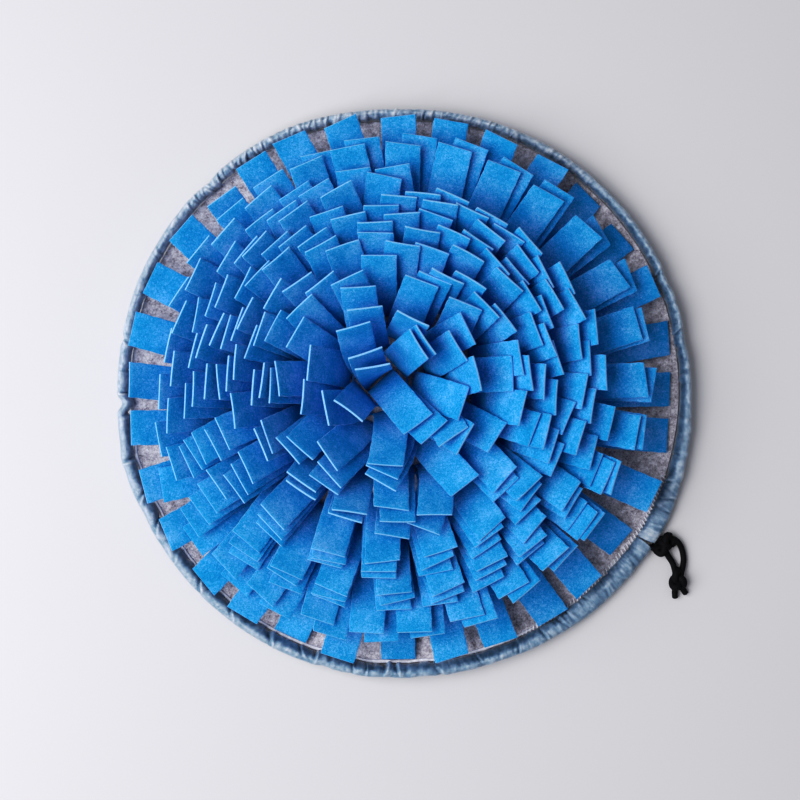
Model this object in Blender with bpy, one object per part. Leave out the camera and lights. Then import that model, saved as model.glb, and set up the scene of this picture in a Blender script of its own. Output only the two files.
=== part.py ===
"""Round snuffle mat, modelled as it is sewn. Units are metres, +Z is up.

A grey felt disc lies flat. Round its edge runs a gathered nylon casing, which stands up like a low rim.
Fringed bands of blue felt are sewn on the disc in rings, one inside the other. Each band is one long
piece of felt: an uncut margin, sewn down on its edge, and strips that are cut down to that margin.
The strips flop outwards over those of the next band, so the rings build up to a dome. The last three
bands, at the very middle, are a single strip each. A black drawstring leaves the casing through a
notch, and is knotted there and again near its two ends.

Azimuths are in degrees, counted from +X towards +Y.
"""

import math

import bmesh
import bpy
from mathutils import Quaternion, Vector
from mathutils.bvhtree import BVHTree

UP = Vector((0.0, 0.0, 1.0))
SEWN_GAP = 0.0003  # between pieces that touch

# --- felt disc and casing -------------------------------------------------------------------------
FELT_THICK = 0.0026
DISC_SEGMENTS = 72
FLAT_SHARE = 0.86  # of the disc's radius: it lies flat inside this and curls up outside it
CURL_SHARE = 0.93  # where the curl has its middle row of points
CASING_HALF_WIDTH = 0.0090
CASING_HALF_THICK = 0.0038
CASING_STATIONS = 126
CASING_SIDES = 8
GATHER_DEPTH = 0.0014
GATHER_EVEN_SHARE = 0.55  # of that depth, what every second ridge has; the rest differs from ridge to ridge
NOTCH_AZIMUTH = -31.5
NOTCH_INNER_HALF = 0.0006
NOTCH_OUTER_HALF = 0.0046

# azimuth, radius of the casing's outer edge, tilt of the casing from level, lift of the disc's edge
EDGE_TABLE = (
    (0, 0.2485, 70, 0.0030),
    (30, 0.2490, 77, 0.0030),
    (60, 0.2485, 76, 0.0036),
    (90, 0.2475, 72, 0.0040),
    (118, 0.2530, 70, 0.0042),
    (150, 0.2520, 72, 0.0050),
    (180, 0.2500, 66, 0.0050),
    (195, 0.2520, 60, 0.0048),
    (215, 0.2495, 56, 0.0042),
    (240, 0.2490, 56, 0.0034),
    (270, 0.2470, 57, 0.0028),
    (297, 0.2485, 46, 0.0016),
    (313, 0.2530, 29, 0.0002),
    (333, 0.2545, 28, 0.0002),
    (347, 0.2515, 50, 0.0020),
)

# --- fringed bands --------------------------------------------------------------------------------
STRIP_WIDTH = 0.0298
CUT_WIDTH = 0.0008
STRIP_THICK = 0.0018
STRIP_LENGTH = 0.0800
MARGIN_HEIGHT = 0.0045
STRIP_STEPS = 12  # steps in which a strip's bend is worked out
STRIP_STATIONS = (3, 7, 12)  # steps at which the solid has a section
OUTER_CENTRE = Vector((-0.0055, 0.0050, 0.0))
WHORL_CENTRE = Vector((-0.0240, 0.0140, 0.0))
HEAVY_SIDE = 220.0  # azimuth at which the strips of a pile lie most alike

# pile (bands of one pile are cut together), strips, slack of the ring's radius over the snuggest one,
# azimuth of the first strip, share of the bend that comes at the seam
BAND_TABLE = (
    (0, 32, 0.0040, 359.5, 0.74),
    (1, 30, 0.0030, 1.5, 0.42),
    (1, 29, 0.0040, 1.5, 0.38),
    (2, 26, 0.0030, 254.0, 0.32),
    (2, 25, 0.0040, 254.0, 0.30),
    (2, 24, 0.0045, 254.0, 0.28),
    (3, 21, 0.0030, 248.0, 0.26),
    (3, 20, 0.0040, 248.0, 0.26),
    (3, 19, 0.0045, 248.0, 0.26),
    (4, 16, 0.0030, 252.0, 0.22),
    (4, 15, 0.0025, 252.0, 0.22),
    (5, 12, 0.0000, 4.0, 0.20),
    (6, 10, 0.0000, 358.0, 0.18),
    (7, 8, 0.0000, 20.0, 0.16),
    (8, 6, 0.0000, 345.0, 0.14),
    (9, 4, 0.0020, 43.0, 0.12),
    (10, 1, 0.0032, 313.0, 0.10),
    (11, 1, 0.0060, 133.0, 0.10),
    (12, 1, 0.0000, 133.0, 0.10),
)

# distance of the tips from the middle of the mat: azimuth, then one column for each of the bands from the
# second to the thirteenth
REACH_TABLE = (
    (0, 0.211, 0.207, 0.168, 0.160, 0.153, 0.129, 0.124, 0.113, 0.106, 0.100, 0.095, 0.088),
    (30, 0.220, 0.216, 0.168, 0.162, 0.155, 0.137, 0.132, 0.126, 0.105, 0.098, 0.090, 0.081),
    (58, 0.217, 0.214, 0.165, 0.160, 0.155, 0.140, 0.134, 0.128, 0.106, 0.100, 0.092, 0.084),
    (74, 0.219, 0.216, 0.172, 0.167, 0.162, 0.156, 0.150, 0.144, 0.134, 0.128, 0.118, 0.100),
    (90, 0.220, 0.217, 0.190, 0.185, 0.180, 0.175, 0.168, 0.161, 0.150, 0.144, 0.132, 0.110),
    (120, 0.216, 0.210, 0.193, 0.187, 0.181, 0.168, 0.161, 0.155, 0.142, 0.134, 0.122, 0.108),
    (150, 0.209, 0.204, 0.190, 0.185, 0.178, 0.163, 0.157, 0.152, 0.143, 0.136, 0.130, 0.112),
    (180, 0.204, 0.198, 0.182, 0.174, 0.165, 0.158, 0.152, 0.147, 0.128, 0.122, 0.116, 0.104),
    (210, 0.228, 0.222, 0.207, 0.202, 0.195, 0.180, 0.175, 0.168, 0.125, 0.119, 0.112, 0.104),
    (250, 0.214, 0.207, 0.199, 0.190, 0.181, 0.172, 0.165, 0.157, 0.113, 0.107, 0.101, 0.095),
    (280, 0.208, 0.202, 0.193, 0.185, 0.177, 0.168, 0.160, 0.151, 0.119, 0.113, 0.106, 0.098),
    (310, 0.194, 0.189, 0.184, 0.177, 0.170, 0.160, 0.153, 0.146, 0.124, 0.114, 0.105, 0.097),
    (335, 0.192, 0.189, 0.182, 0.176, 0.168, 0.158, 0.152, 0.144, 0.116, 0.109, 0.102, 0.096),
)

# where the strips part: first and last pile, azimuth, how far it goes to either side in degrees, and by how
# many degrees the strips in it turn away
PARTINGS = (
    (4, 7, 301.0, 22.0, 9.0),
    (3, 5, 326.0, 14.0, 8.0),
    (2, 4, 192.0, 16.0, 8.0),
    (1, 3, 206.0, 12.0, 7.0),
    (3, 5, 222.0, 12.0, 6.0),
)

# tips of the outermost strips in turn: azimuth and distance from the middle of the mat
OUTER_TIPS = (
    (1.0, 0.237), (12.0, 0.238), (24.5, 0.236), (36.0, 0.238), (47.5, 0.238), (57.5, 0.236),
    (69.5, 0.233), (80.5, 0.237), (91.5, 0.237), (103.5, 0.239), (114.5, 0.241), (123.5, 0.240),
    (133.0, 0.228), (143.5, 0.239), (155.5, 0.241), (166.5, 0.241), (177.0, 0.234), (187.0, 0.236),
    (199.5, 0.238), (210.5, 0.238), (223.0, 0.238), (233.5, 0.237), (244.5, 0.236), (255.5, 0.234),
    (268.5, 0.233), (280.0, 0.230), (291.0, 0.229), (303.5, 0.233), (313.5, 0.230), (325.5, 0.233),
    (337.5, 0.231), (351.0, 0.235),
)

# tips of the strips that lie on top at the middle, and of some below them: band, strip, azimuth and distance
# from the whorl's centre
WHORL_TIPS = (
    (9, 2, 285.0, 0.134), (10, 2, 287.0, 0.128),
    (11, 1, 41.0, 0.097), (11, 2, 60.0, 0.116), (11, 3, 87.0, 0.122), (11, 4, 116.0, 0.126),
    (12, 0, 2.0, 0.084), (12, 1, 27.0, 0.092), (12, 2, 62.0, 0.110), (12, 3, 112.0, 0.100),
    (12, 4, 136.0, 0.096), (12, 5, 181.0, 0.083), (12, 6, 227.0, 0.098), (12, 7, 244.0, 0.091),
    (12, 8, 272.0, 0.088), (12, 9, 325.0, 0.090),
    (13, 0, 30.0, 0.084), (13, 1, 58.0, 0.057), (13, 2, 99.0, 0.084), (13, 3, 149.0, 0.086),
    (13, 4, 195.0, 0.064), (13, 5, 238.0, 0.078), (13, 6, 270.0, 0.081), (13, 7, 318.0, 0.084),
    (14, 0, 343.0, 0.076), (14, 1, 37.0, 0.051), (14, 2, 100.0, 0.058), (14, 3, 173.0, 0.072),
    (14, 4, 211.0, 0.050), (14, 5, 274.0, 0.076),
    (15, 0, 38.0, 0.044), (15, 1, 101.0, 0.052), (15, 2, 232.0, 0.040), (15, 3, 317.0, 0.075),
    (16, 0, 309.0, 0.069), (17, 0, 116.0, 0.022), (18, 0, 112.0, 0.009),
)

# how much the strips differ from their neighbours
REACH_SPREAD = 0.0040
YAW_SPREAD = 13.0
ROLL_SPREAD = 10.0
LENGTH_SPREAD = 0.0025
PILE_SHARE_HEAVY = 0.78  # of that difference, what strips that lie on each other in a pile have in common
PILE_SHARE_FAR = 0.45
OUTER_PILE_SPREAD = 0.45  # of the yaw, what the strips of the second pile differ by

# how a strip is laid over those below it: it goes as far as planned if it clears them, else steeper at its
# root, and then also less far and less askew, step by step
LAY_CLEARANCE = 0.00045
LAY_TRIES = 60
STEEPER_STEPS = 5
STEEPER_SHARE = 0.30
SHORTER_SHARE = 0.05
CALMER_SHARE = 0.10
GREATEST_LEAN = math.radians(106.0)
YAW_EARLY = 1.6  # a strip has turned to its heading by this much before its tip
FLATNESS = 0.00001  # how far a corner may be off the plane of its face

# --- drawstring -----------------------------------------------------------------------------------
CORD_RADIUS = 0.0027
CORD_POINT_SPACING = 0.004
CORD_TO_KNOT = 0.0005
CORD_TRIM_STEP = 0.0002
KNOT_AT_CASING = Vector((0.2262, -0.1313, 0.0060))
KNOT_AT_CASING_HALF = Vector((0.0118, 0.0062, 0.0055))
KNOT_AT_CASING_TURN = 40.7
KNOT_NOSE_LENGTH = 0.0046  # of the cord that goes from the knot into the notch
KNOT_LOBE_DEPTH = 0.10
KNOT_AT_END = Vector((0.2380, -0.1618, 0.0060))
KNOT_AT_END_HALF = Vector((0.0078, 0.0082, 0.0055))
KNOT_AT_END_TURN = 0.0

# routes of the cord between and beyond the knots, from inside one knot
INNER_STRAND = (
    (0.2250, -0.1340, 0.0060), (0.2284, -0.1392, 0.0046), (0.2306, -0.1429, 0.0034),
    (0.2332, -0.1468, 0.0031), (0.2348, -0.1510, 0.0040), (0.2358, -0.1570, 0.0058),
)
OUTER_STRAND = (
    (0.2334, -0.1262, 0.0060), (0.2384, -0.1298, 0.0050), (0.2412, -0.1342, 0.0036),
    (0.2428, -0.1395, 0.0031), (0.2434, -0.1452, 0.0031), (0.2424, -0.1510, 0.0042),
    (0.2406, -0.1580, 0.0058),
)
INNER_TAIL = (
    (0.2366, -0.1650, 0.0050), (0.2358, -0.1706, 0.0038), (0.2356, -0.1744, 0.0031),
    (0.2362, -0.1790, 0.0030),
)
OUTER_TAIL = (
    (0.2404, -0.1650, 0.0050), (0.2422, -0.1694, 0.0038), (0.2438, -0.1722, 0.0031),
    (0.2460, -0.1752, 0.0030),
)


def remove_startup_objects():
    for obj in list(bpy.data.objects):
        bpy.data.objects.remove(obj)


def new_material(name, colour, roughness):
    material = bpy.data.materials.new(name)
    material.use_nodes = True
    shader = material.node_tree.nodes["Principled BSDF"]
    shader.inputs["Base Color"].default_value = (*colour, 1.0)
    shader.inputs["Roughness"].default_value = roughness
    shader.inputs["Metallic"].default_value = 0.0
    return material


def add_object(name, data, material, collection):
    obj = bpy.data.objects.new(name, data)
    collection.objects.link(obj)
    data.materials.append(material)
    return obj


def mesh_from(bm, name):
    bmesh.ops.recalc_face_normals(bm, faces=bm.faces)
    mesh = bpy.data.meshes.new(name)
    bm.to_mesh(mesh)
    bm.free()
    return mesh


def surface_tree(obj):
    """The object's surface, to test what touches it."""
    faces = [tuple(face.vertices) for face in obj.data.polygons]
    return BVHTree.FromPolygons([vert.co for vert in obj.data.vertices], faces)


def scatter(band, strip, channel):
    """A number from -1 to 1 that looks random and is the same on every run."""
    wave = math.sin(12.9898 * band + 78.233 * strip + 37.719 * channel + 4.137) * 43758.5453
    return 2.0 * (wave - math.floor(wave)) - 1.0


def direction(azimuth):
    turn = math.radians(azimuth)
    return Vector((math.cos(turn), math.sin(turn), 0.0))


def eased_row(table, azimuth):
    """What a table that goes all round has at an azimuth, eased from row to row."""
    azimuth %= 360.0
    rows = table + ((table[0][0] + 360.0, *table[0][1:]),)
    for low, high in zip(rows, rows[1:]):
        if azimuth <= high[0]:
            break
    share = (azimuth - low[0]) / (high[0] - low[0])
    share = share * share * (3.0 - 2.0 * share)
    return [a + (b - a) * share for a, b in zip(low[1:], high[1:])]


# --- felt disc and casing -------------------------------------------------------------------------
def edge_at(azimuth):
    """(outer radius, tilt in radians, lift) of the mat's edge."""
    radius, tilt, lift = eased_row(EDGE_TABLE, azimuth)
    return radius, math.radians(tilt), lift


def casing_centre(azimuth):
    """(radius, height) of the middle of the casing's section."""
    radius, tilt, lift = edge_at(azimuth)
    reach = math.hypot(CASING_HALF_WIDTH * math.cos(tilt), CASING_HALF_THICK * math.sin(tilt))
    rise = math.hypot(CASING_HALF_WIDTH * math.sin(tilt), CASING_HALF_THICK * math.cos(tilt))
    return radius - reach, lift + SEWN_GAP + rise


def disc_edge(azimuth):
    """(radius, height) of the disc's edge, where it meets the inner side of the casing."""
    _, tilt, lift = edge_at(azimuth)
    centre_radius, centre_height = casing_centre(azimuth)
    drop = lift + FELT_THICK - centre_height
    a2, b2 = CASING_HALF_WIDTH**-2, CASING_HALF_THICK**-2
    cos_t, sin_t = math.cos(tilt), math.sin(tilt)
    square = a2 * cos_t**2 + b2 * sin_t**2
    linear = 2.0 * drop * sin_t * cos_t * (a2 - b2)
    rest = drop**2 * (a2 * sin_t**2 + b2 * cos_t**2) - 1.0
    inner = (-linear - math.sqrt(max(0.0, linear**2 - 4.0 * square * rest))) / (2.0 * square)
    return centre_radius + inner - SEWN_GAP, lift


def disc_height(azimuth, radius):
    """Height of the disc's underside."""
    edge_radius, edge_height = disc_edge(azimuth)
    share = (radius / edge_radius - FLAT_SHARE) / (1.0 - FLAT_SHARE)
    share = min(1.0, max(0.0, share))
    return edge_height * share * share * (3.0 - 2.0 * share)


def build_disc():
    """A closed profile of the disc, from its middle below to its middle above, spun round."""
    shares = (0.0, FLAT_SHARE, CURL_SHARE, 1.0)
    profile = [(share, 0.0) for share in shares] + [(share, FELT_THICK) for share in reversed(shares)]
    bm = bmesh.new()
    verts = [bm.verts.new((share, 0.0, height)) for share, height in profile]
    edges = [bm.edges.new(pair) for pair in zip(verts, verts[1:])]
    bmesh.ops.spin(
        bm, geom=verts + edges, axis=UP, cent=(0.0, 0.0, 0.0), steps=DISC_SEGMENTS, angle=2.0 * math.pi
    )
    for vert in bm.verts:
        share = math.hypot(vert.co.x, vert.co.y)
        azimuth = math.degrees(math.atan2(vert.co.y, vert.co.x))
        radius = share * disc_edge(azimuth)[0]
        vert.co = direction(azimuth) * radius + UP * (disc_height(azimuth, radius) + vert.co.z)
    bmesh.ops.remove_doubles(bm, verts=bm.verts, dist=1e-6)
    return mesh_from(bm, "felt_disc")


def gather(station):
    """Depth of the casing's gathers at a station: sharp uneven ridges."""
    even = GATHER_EVEN_SHARE if station % 2 else 0.0
    return GATHER_DEPTH * (even + (1.0 - GATHER_EVEN_SHARE) * (0.5 + 0.5 * scatter(40, station, 1)))


def casing_point(station, around):
    """A point on the casing, at a station along it and an angle around its section."""
    turn = 360.0 * station / CASING_STATIONS
    ending = min(station, CASING_STATIONS - station)
    side = 1.0 if station < CASING_STATIONS / 2 else -1.0
    azimuth = NOTCH_AZIMUTH + turn
    _, tilt, _ = edge_at(azimuth)
    centre_radius, centre_height = casing_centre(azimuth)
    outward = direction(azimuth)
    along_width = outward * math.cos(tilt) + UP * math.sin(tilt)
    across = outward * -math.sin(tilt) + UP * math.cos(tilt)
    outer_share = 0.5 + 0.5 * math.cos(around)
    puff = 1.0 - gather(station) / CASING_HALF_THICK * outer_share
    point = outward * centre_radius + UP * centre_height
    point += along_width * (CASING_HALF_WIDTH * puff * math.cos(around))
    point += across * (CASING_HALF_THICK * puff * math.sin(around))
    if ending < 2:
        half = NOTCH_INNER_HALF + (NOTCH_OUTER_HALF - NOTCH_INNER_HALF) * outer_share**2
        point += outward.cross(UP) * (-side * half * (1.0 - 0.5 * ending))
    return point


def build_casing():
    """A tube of gathered cloth: a section's outline swept round the disc, with its two ends at the notch."""
    bm = bmesh.new()
    ring = bmesh.ops.create_circle(bm, segments=CASING_SIDES, radius=1.0)["verts"]
    order = sorted(ring, key=lambda vert: math.atan2(vert.co.y, vert.co.x) % (2.0 * math.pi))
    angles = [2.0 * math.pi * side / CASING_SIDES for side in range(CASING_SIDES)]
    loop = list(bm.edges)
    for vert, around in zip(order, angles):
        vert.co = casing_point(0, around)
    for station in range(1, CASING_STATIONS + 1):
        made = bmesh.ops.extrude_edge_only(bm, edges=loop)["geom"]
        loop = [item for item in made if isinstance(item, bmesh.types.BMEdge) and len(item.link_faces) == 1]
        new_verts = [item for item in made if isinstance(item, bmesh.types.BMVert)]
        moved = []
        for vert in new_verts:
            old = next(edge.other_vert(vert) for edge in vert.link_edges if edge not in loop)
            moved.append((order.index(old), vert))
        moved.sort(key=lambda pair: pair[0])
        order = [vert for _, vert in moved]
        for vert, around in zip(order, angles):
            vert.co = casing_point(station, around)
    open_edges = [edge for edge in bm.edges if len(edge.link_faces) == 1]
    bmesh.ops.holes_fill(bm, edges=open_edges, sides=CASING_SIDES)
    return mesh_from(bm, "edge_casing")


# --- fringed bands --------------------------------------------------------------------------------
def bend_angle(lean, seam_share, share):
    return lean * (seam_share + (1.0 - seam_share) * (1.0 - (1.0 - share) ** 2))


def heading_at(azimuth, yaw, share):
    return azimuth + yaw * min(1.0, YAW_EARLY * share)


def tip_of(lean, seam_share, length, yaw):
    """(run, drift in degrees) of a strip's tip, seen from above from its root."""
    forward = sideways = 0.0
    for index in range(STRIP_STEPS):
        share = (index + 0.5) / STRIP_STEPS
        run = math.sin(bend_angle(lean, seam_share, share)) * length / STRIP_STEPS
        turn = math.radians(heading_at(0.0, yaw, share))
        forward += run * math.cos(turn)
        sideways += run * math.sin(turn)
    return math.hypot(forward, sideways), math.degrees(math.atan2(sideways, forward))


def aim(run, drift, seam_share, length):
    """(lean in radians, yaw in degrees) that carry a strip's tip this far, and this far round."""
    yaw = drift
    for _ in range(3):
        low, high = 0.01, GREATEST_LEAN
        for _ in range(14):
            lean = 0.5 * (low + high)
            low, high = (lean, high) if tip_of(lean, seam_share, length, yaw)[0] < run else (low, lean)
        yaw += drift - tip_of(lean, seam_share, length, yaw)[1]
    return lean, yaw


def bend(root, azimuth, lean, seam_share, length, yaw, roll):
    """A strip's sections from its root to its tip: (middle, width direction, thickness direction)."""
    sections = []
    middle = root.copy()
    for index in range(STRIP_STEPS + 1):
        share = index / STRIP_STEPS
        if index:
            inner = (index - 0.5) / STRIP_STEPS
            angle = bend_angle(lean, seam_share, inner)
            heading = direction(heading_at(azimuth, yaw, inner))
            middle = middle + (heading * math.sin(angle) + UP * math.cos(angle)) * (length / STRIP_STEPS)
        angle = bend_angle(lean, seam_share, share) if index else 0.0
        heading = direction(heading_at(azimuth, yaw, share))
        along = heading * math.sin(angle) + UP * math.cos(angle)
        width = Quaternion(along, math.radians(roll) * share) @ UP.cross(heading)
        sections.append((middle, width, along.cross(width)))
    return sections


def strip_tree(sections, extra):
    """The strip's surface, grown by extra all round, to test what it touches."""
    kept = [sections[index] for index in (0, *STRIP_STATIONS)]
    points = []
    for middle, across, through in kept:
        for side, face in ((-1, -1), (1, -1), (1, 1), (-1, 1)):
            half_width = across * (side * (STRIP_WIDTH / 2.0 + extra))
            points.append(middle + half_width + through * (face * (STRIP_THICK / 2.0 + extra)))
    faces = [(0, 1, 2, 3), tuple(range(len(points) - 4, len(points)))]
    for level in range(len(kept) - 1):
        for side in range(4):
            a, b = 4 * level + side, 4 * level + (side + 1) % 4
            faces.append((a, b, b + 4, a + 4))
    return BVHTree.FromPolygons(points, faces)


def seam_radius(strips, slack):
    """Radius of a band's seam, at the middle of a strip: the snuggest ring's, and its slack."""
    if strips == 1:
        return slack
    return (STRIP_WIDTH + CUT_WIDTH) / 2.0 / math.tan(math.pi / strips) + STRIP_THICK / 2.0 + slack


def band_centre(radius):
    outermost = seam_radius(*BAND_TABLE[0][1:3])
    return WHORL_CENTRE.lerp(OUTER_CENTRE, radius / outermost)


def plan_strip(band, strip):
    """(root, azimuth, length, run, drift, seam share, roll) of a strip, before it is laid."""
    pile, strips, slack, first, seam_share = BAND_TABLE[band]
    radius = seam_radius(strips, slack)
    azimuth = first + 360.0 * strip / strips
    centre = band_centre(radius)
    root = centre + direction(azimuth) * radius
    root.z = FELT_THICK + SEWN_GAP + MARGIN_HEIGHT
    side = 0.5 + 0.5 * math.cos(math.radians(azimuth - HEAVY_SIDE))
    pile_share = PILE_SHARE_FAR + (PILE_SHARE_HEAVY - PILE_SHARE_FAR) * side

    place = strip if strip < strips / 2 else strip - strips

    def differ(channel):
        common = scatter(20 + pile, place, channel)
        return pile_share * common + (1.0 - pile_share) * scatter(band, strip, channel)

    length = STRIP_LENGTH + LENGTH_SPREAD * scatter(band, strip, 1)
    roll = ROLL_SPREAD * differ(2)
    run = REACH_SPREAD * differ(3) - radius - centre.dot(direction(azimuth))
    if 0 < band < len(REACH_TABLE[0]):
        run += eased_row(REACH_TABLE, azimuth)[band - 1]
    drift = YAW_SPREAD * differ(4) * (OUTER_PILE_SPREAD if pile == 1 else 1.0)
    for first_pile, last_pile, middle, half_angle, push in PARTINGS:
        away = ((azimuth - middle + 180.0) % 360.0 - 180.0) / half_angle
        if first_pile <= pile <= last_pile and abs(away) < 1.0:
            drift += math.copysign(push * (1.0 - abs(away)), away)
    tip = None
    if band == 0:
        tip = direction(OUTER_TIPS[strip][0]) * OUTER_TIPS[strip][1]
        roll *= 0.3
    for row_band, row_strip, tip_azimuth, reach in WHORL_TIPS:
        if (row_band, row_strip) == (band, strip):
            tip = WHORL_CENTRE + direction(tip_azimuth) * reach
    if tip:
        way = tip - Vector((root.x, root.y, 0.0))
        run = way.length
        drift = (math.degrees(math.atan2(way.y, way.x)) - azimuth + 180.0) % 360.0 - 180.0
    return root, azimuth, length, run, drift, seam_share, roll


def lay_strip(band, strip, obstacles):
    """Sections of a strip that is bent over as far as it should go without touching the obstacles."""
    root, azimuth, length, run, drift, seam_share, roll = plan_strip(band, strip)
    for attempt in range(LAY_TRIES):
        shorter, steeper = divmod(attempt, STEEPER_STEPS)
        calm = max(0.0, 1.0 - CALMER_SHARE * shorter)
        share = seam_share * (1.0 - STEEPER_SHARE * steeper)
        lean, yaw = aim(run * (1.0 - SHORTER_SHARE * shorter), drift * calm, share, length)
        sections = bend(root, azimuth, lean, share, length, yaw, roll * calm)
        grown = strip_tree(sections, LAY_CLEARANCE)
        if not any(grown.overlap(tree) for tree in obstacles):
            break
    else:
        print("strip", band, strip, "touches a neighbour")
    return sections


def margin_mesh(band):
    """The band's uncut margin, on edge: a sheet of felt cells bent round the ring and raised."""
    _, strips, slack, first, _ = BAND_TABLE[band]
    radius = seam_radius(strips, slack)
    cells = 2 * strips if strips > 1 else 1
    bm = bmesh.new()
    bmesh.ops.create_grid(bm, x_segments=cells, y_segments=1, size=0.5)
    for vert in bm.verts:
        strip, end = divmod(round((vert.co.x + 0.5) * cells), 2)
        outward = direction(first + 360.0 * strip / strips)
        along = UP.cross(outward) * (STRIP_WIDTH / 2.0 if end else -STRIP_WIDTH / 2.0)
        across = outward * (radius + math.copysign(STRIP_THICK / 2.0, vert.co.y))
        vert.co = band_centre(radius) + across + along + UP * (FELT_THICK + SEWN_GAP)
    bmesh.ops.remove_doubles(bm, verts=bm.verts, dist=1e-6)
    raised = bmesh.ops.extrude_face_region(bm, geom=list(bm.faces), use_keep_orig=True)["geom"]
    raised_verts = [item for item in raised if isinstance(item, bmesh.types.BMVert)]
    bmesh.ops.translate(bm, verts=raised_verts, vec=UP * MARGIN_HEIGHT)
    bmesh.ops.recalc_face_normals(bm, faces=bm.faces)
    return bm


def split_twisted(bm):
    """Splits each four-sided face that isn't flat in two."""
    twisted = []
    for face in bm.faces:
        first, second, third, *rest = (vert.co for vert in face.verts)
        normal = (second - first).cross(third - first).normalized()
        if any(abs((place - first).dot(normal)) > FLATNESS for place in rest):
            twisted.append(face)
    bmesh.ops.triangulate(bm, faces=twisted)


def pull_up(bm, face, sections):
    """Draws a face on top of the margin out into a strip, section by section."""
    middle, across, through = sections[0]
    for index in STRIP_STATIONS:
        face = bmesh.ops.extrude_discrete_faces(bm, faces=[face])["faces"][0]
        next_middle, next_across, next_through = sections[index]
        for vert in face.verts:
            away = vert.co - middle
            half_width = next_across * math.copysign(STRIP_WIDTH / 2.0, away.dot(across))
            half_thick = next_through * math.copysign(STRIP_THICK / 2.0, away.dot(through))
            vert.co = next_middle + half_width + half_thick
        middle, across, through = next_middle, next_across, next_through


def build_bands(material, collection, ground):
    """Sews on and lays the bands from the outermost inwards, each over those already there."""
    obstacles = list(ground)
    for band, (_, strips, *_) in enumerate(BAND_TABLE):
        bm = margin_mesh(band)
        margin = BVHTree.FromBMesh(bm)
        half_a_root = STRIP_WIDTH * STRIP_THICK / 2.0
        tops = [face for face in bm.faces if face.normal.z > 0.99 and face.calc_area() > half_a_root]
        laid = []
        for strip in range(strips):
            sections = lay_strip(band, strip, obstacles + laid[-1:] + laid[:1])
            laid.append(strip_tree(sections, 0.0))
            root = sections[0][0]
            face = min(tops, key=lambda top: (top.calc_center_median() - root).length)
            tops.remove(face)
            pull_up(bm, face, sections)
        split_twisted(bm)
        obstacles += [*laid, margin]
        name = f"fringe_band_{band + 1:02d}"
        add_object(name, mesh_from(bm, name), material, collection)


# --- drawstring -----------------------------------------------------------------------------------
def smooth_route(points, spacing):
    """Points about spacing apart on a smooth curve through the given ones."""
    given = [Vector(point) for point in points]
    padded = [2.0 * given[0] - given[1], *given, 2.0 * given[-1] - given[-2]]
    route = [given[0]]
    for a, b, c, d in zip(padded, padded[1:], padded[2:], padded[3:]):
        pieces = max(1, round((c - b).length / spacing))
        for piece in range(1, pieces + 1):
            t = piece / pieces
            square = (2 * a - 5 * b + 4 * c - d) * t**2
            cube = (3 * b - a - 3 * c + d) * t**3
            route.append(0.5 * (2 * b + (c - a) * t + square + cube))
    return route


def clearance(route, knot):
    """How far the first few millimetres of a cord along the route are from the knot's surface."""
    distances = []
    for here, ahead in list(zip(route, route[1:]))[:25:4]:
        along = (ahead - here).normalized()
        spoke = along.orthogonal().normalized() * CORD_RADIUS
        rim = [here + Quaternion(along, math.radians(30.0 * hour)) @ spoke for hour in range(12)]
        for point in (here, *rim):
            place, normal, _, distance = knot.find_nearest(point)
            distances.append(math.copysign(distance, (point - place).dot(normal)))
    return min(distances)


def trim(route, knot):
    """The route from where a cord along it first clears the knot."""
    while clearance(route, knot) < CORD_TO_KNOT:
        route = route[1:]
    return route


def build_cord(name, points, knots, material, collection):
    """A length of cord along the points, which ends just clear of the knots at its start and end."""
    route = trim(smooth_route(points, CORD_TRIM_STEP), knots[0])
    if len(knots) > 1:
        route = trim(route[::-1], knots[1])[::-1]
    pieces = max(2, round(len(route) * CORD_TRIM_STEP / CORD_POINT_SPACING))
    route = [route[round(piece * (len(route) - 1) / pieces)] for piece in range(pieces + 1)]
    curve = bpy.data.curves.new(name, "CURVE")
    curve.dimensions = "3D"
    curve.bevel_depth = CORD_RADIUS
    curve.bevel_resolution = 2
    curve.use_fill_caps = True
    spline = curve.splines.new("POLY")
    spline.points.add(len(route) - 1)
    for point, place in zip(spline.points, route):
        point.co = (*place, 1.0)
    add_object(name, curve, material, collection)


def build_knot(name, middle, half, turn, nose, material, collection):
    """A drawn-tight knot: a ball with four lobes, drawn out along nose, which is None for no nose."""
    bm = bmesh.new()
    bmesh.ops.create_uvsphere(bm, u_segments=16, v_segments=8, radius=1.0)
    for vert in bm.verts:
        ball = vert.co.copy()
        girth = 1.0 - abs(ball.z)
        lobes = 1.0 - KNOT_LOBE_DEPTH * girth * (0.5 + 0.5 * math.cos(4.0 * math.atan2(ball.y, ball.x)))
        vert.co = Vector((ball.x * half.x * lobes, ball.y * half.y * lobes, ball.z * half.z))
        vert.co.rotate(Quaternion(UP, math.radians(turn)))
        if nose and girth > 0.01:
            toward = max(0.0, Vector((vert.co.x, vert.co.y, 0.0)).normalized().dot(nose))
            vert.co += nose * (KNOT_NOSE_LENGTH * toward**8 * girth)
        vert.co += middle
    return surface_tree(add_object(name, mesh_from(bm, name), material, collection))


def build_drawstring(material, collection):
    nose = direction(NOTCH_AZIMUTH + 180.0)
    at_casing = build_knot(
        "knot_at_casing", KNOT_AT_CASING, KNOT_AT_CASING_HALF, KNOT_AT_CASING_TURN, nose, material, collection
    )
    at_end = build_knot(
        "knot_at_end", KNOT_AT_END, KNOT_AT_END_HALF, KNOT_AT_END_TURN, None, material, collection
    )
    build_cord("cord_inner_strand", INNER_STRAND, (at_casing, at_end), material, collection)
    build_cord("cord_outer_strand", OUTER_STRAND, (at_casing, at_end), material, collection)
    build_cord("cord_inner_tail", INNER_TAIL, (at_end,), material, collection)
    build_cord("cord_outer_tail", OUTER_TAIL, (at_end,), material, collection)


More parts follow.
